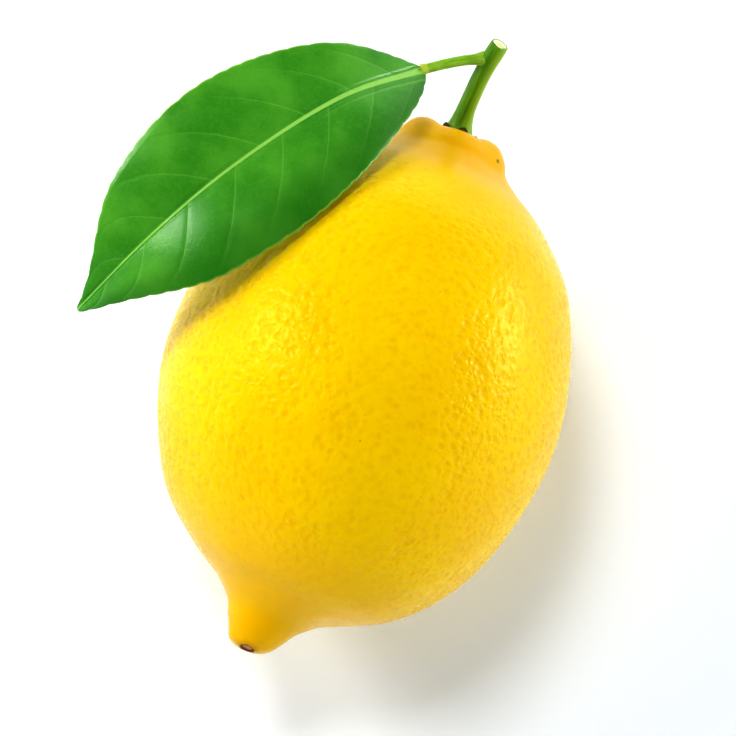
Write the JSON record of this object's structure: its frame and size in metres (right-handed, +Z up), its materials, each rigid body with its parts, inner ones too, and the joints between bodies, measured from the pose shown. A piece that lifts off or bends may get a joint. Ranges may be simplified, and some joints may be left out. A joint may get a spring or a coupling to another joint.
{
  "type": "lemon",
  "caption": "Whole yellow lemon lying on its side, picked with its green stem and a glossy green leaf.",
  "frame": {"origin": "middle of the small flat spot on the belly that the fruit rests on", "axes": "+Z up from the resting surface, +Y along the fruit from the nipple to the stem end, +X across the fruit away from the leaf"},
  "size_m": [0.0763, 0.1019, 0.0627],
  "materials": {
    "peel": "glossy waxy citrus peel with fine pores",
    "dry_calyx": "matte, dry, olive brown",
    "green_twig": "satin green bark with fine ribs, pale at the cut",
    "green_petiole": "satin yellow-green",
    "leaf_green": "waxy gloss above, duller and paler below"
  },
  "bodies": {
    "root": {"fruit": "peel", "calyx": "dry_calyx", "stem": "green_twig", "petiole": "green_petiole", "leaf_blade": "leaf_green"}
  },
  "joints": []
}
